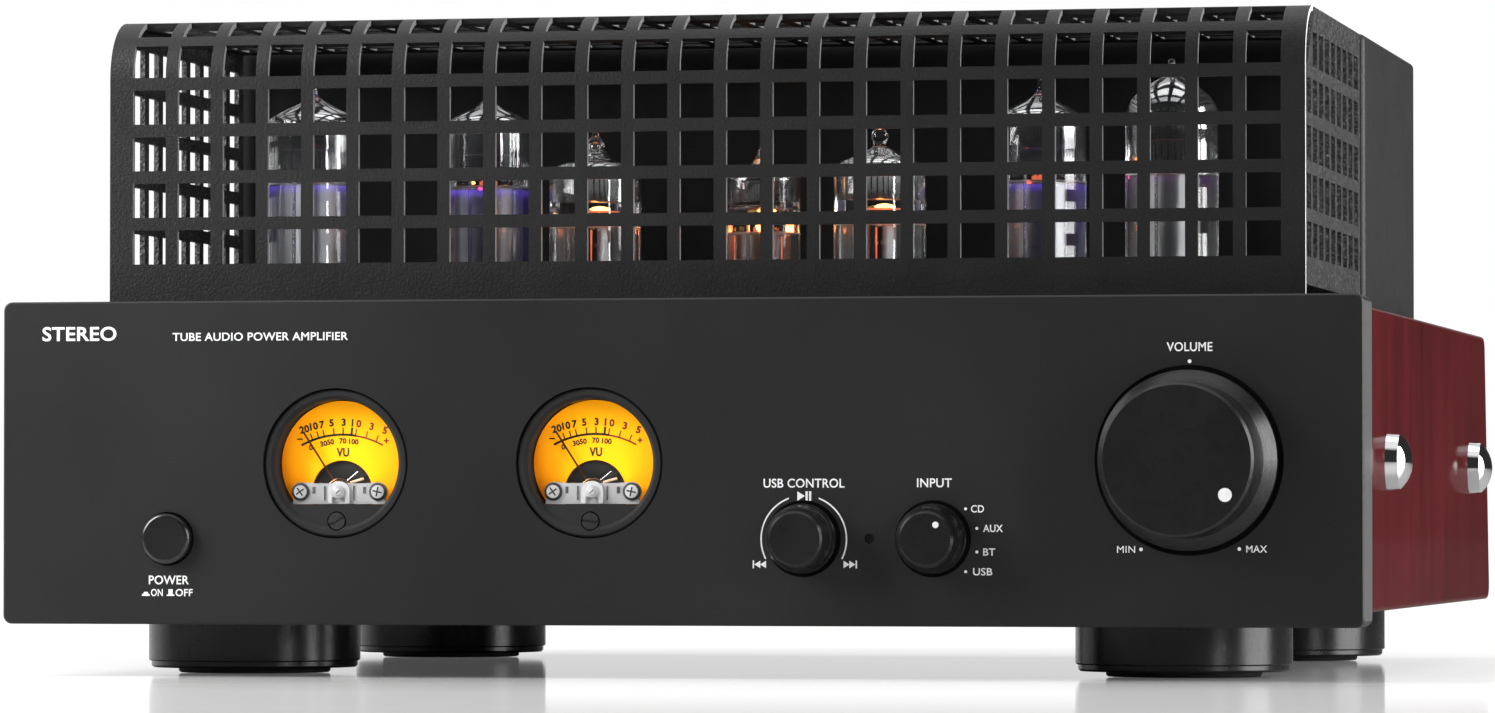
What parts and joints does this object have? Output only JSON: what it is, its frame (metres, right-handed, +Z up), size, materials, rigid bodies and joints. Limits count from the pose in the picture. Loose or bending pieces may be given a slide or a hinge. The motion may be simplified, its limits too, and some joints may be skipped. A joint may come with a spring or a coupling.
{
  "type": "tube amplifier",
  "caption": "Black integrated valve amplifier with a perforated tube cage, round amber level meters, metal knobs, red wooden sides and turned feet.",
  "frame": {"origin": "on the resting plane under the feet, midway between the left and right feet and between the front and rear feet", "axes": "+X to the right seen from the front, +Y to the back, +Z up; the front panel faces -Y"},
  "size_m": [0.3212, 0.314, 0.1512],
  "materials": {
    "black_anodised_aluminium": "satin",
    "black_powder_coat": "matte",
    "black_chassis_steel": "matte",
    "red_lacquered_wood": "gloss",
    "chrome_plate": "polished",
    "black_rubber": "matte",
    "zinc_plated_steel": "satin",
    "clear_glass": "polished",
    "window_glass": "polished",
    "electrode_grey": "satin",
    "white_ceramic": "matte",
    "board_green": "satin",
    "capacitor_sleeve": "gloss",
    "transformer_iron": "satin",
    "black_plastic": "matte",
    "amber_dial": "matte",
    "movement_silver": "satin",
    "needle_black": "matte",
    "gloss_black_button": "gloss",
    "dark_lens": "gloss",
    "gold_plate": "polished",
    "terminal_plastic": "gloss"
  },
  "bodies": {
    "chassis": {"cage_front_sheet": "black_powder_coat", "cage_side_left": "black_powder_coat", "cage_side_right": "black_powder_coat", "chassis_tray": "black_chassis_steel", "feet_pads": "black_rubber", "feet_screws": "zinc_plated_steel", "feet_shells": "black_anodised_aluminium", "filter_capacitors": "capacitor_sleeve", "front_panel": "black_anodised_aluminium", "infrared_sensor": "dark_lens", "input_switch": "black_plastic", "main_board": "board_green", "mains_inlet": "black_plastic", "mains_transformer": "transformer_iron", "meter_dials": "amber_dial", "meter_glasses": "window_glass", "meter_left_housing": "black_plastic", "meter_movements": "movement_silver", "meter_right_housing": "black_plastic", "output_transformer_left": "transformer_iron", "output_transformer_right": "transformer_iron", "phono_jacks": "gold_plate", "power_switch": "black_plastic", "rear_panel": "black_chassis_steel", "side_cap_bolts": "chrome_plate", "speaker_sockets": "terminal_plastic", "top_plate": "black_chassis_steel", "transformer_cover": "black_powder_coat", "usb_encoder": "black_plastic", "valve_1_electrodes": "electrode_grey", "valve_1_glass": "clear_glass", "valve_2_electrodes": "electrode_grey", "valve_2_glass": "clear_glass", "valve_3_electrodes": "electrode_grey", "valve_3_glass": "clear_glass", "valve_4_electrodes": "electrode_grey", "valve_4_glass": "clear_glass", "valve_5_electrodes": "electrode_grey", "valve_5_glass": "clear_glass", "valve_6_electrodes": "electrode_grey", "valve_6_glass": "clear_glass", "valve_7_electrodes": "electrode_grey", "valve_7_glass": "clear_glass", "valve_sockets": "white_ceramic", "volume_pot": "black_plastic", "wood_side_left": "red_lacquered_wood", "wood_side_right": "red_lacquered_wood"},
    "volume_control": {"volume_knob": "black_anodised_aluminium", "volume_shaft": "zinc_plated_steel"},
    "input_selector": {"input_knob": "black_anodised_aluminium", "input_shaft": "zinc_plated_steel"},
    "usb_jog_rotor": {"usb_rotor": "black_plastic"},
    "usb_jog_knob": {"usb_knob": "black_anodised_aluminium", "usb_shaft": "zinc_plated_steel"},
    "power_button": {"power_button": "gloss_black_button"},
    "left_needle": {"meter_left_needle": "needle_black"},
    "right_needle": {"meter_right_needle": "needle_black"},
    "left_zero_screw": {"meter_left_zero_screw": "black_plastic"},
    "right_zero_screw": {"meter_right_zero_screw": "black_plastic"}
  },
  "joints": [
    {"name": "volume_turn", "type": "hinge", "parent": "chassis", "child": "volume_control", "pos_m": [0.1165, -0.138, 0.0483], "axis": [0, 1, 0], "range_deg": [-276, 24]},
    {"name": "input_select", "type": "hinge", "parent": "chassis", "child": "input_selector", "pos_m": [0.0596, -0.138, 0.0311], "axis": [0, 1, 0], "range_deg": [0, 90]},
    {"name": "usb_skip", "type": "hinge", "parent": "chassis", "child": "usb_jog_rotor", "pos_m": [0.03035, -0.138, 0.0311], "axis": [0, 1, 0], "range_deg": [-20, 20], "stiffness_Nm_per_rad": 0.05},
    {"name": "usb_play_press", "type": "slide", "parent": "usb_jog_rotor", "child": "usb_jog_knob", "axis": [0, 1, 0], "range_m": [0, 0.0006], "stiffness_N_per_m": 2000},
    {"name": "power_release", "type": "slide", "parent": "chassis", "child": "power_button", "axis": [0, -1, 0], "range_m": [0, 0.003]},
    {"name": "left_needle_swing", "type": "hinge", "parent": "chassis", "child": "left_needle", "pos_m": [-0.077, -0.138, 0.0416], "axis": [0, 1, 0], "range_deg": [-8, 77], "stiffness_Nm_per_rad": 0.0003},
    {"name": "right_needle_swing", "type": "hinge", "parent": "chassis", "child": "right_needle", "pos_m": [-0.0184, -0.138, 0.0416], "axis": [0, 1, 0], "range_deg": [-8, 77], "stiffness_Nm_per_rad": 0.0003},
    {"name": "left_zero_adjust", "type": "hinge", "parent": "chassis", "child": "left_zero_screw", "pos_m": [-0.077, -0.138, 0.035], "axis": [0, 1, 0], "range_deg": [-30, 30]},
    {"name": "right_zero_adjust", "type": "hinge", "parent": "chassis", "child": "right_zero_screw", "pos_m": [-0.0184, -0.138, 0.035], "axis": [0, 1, 0], "range_deg": [-30, 30]}
  ]
}
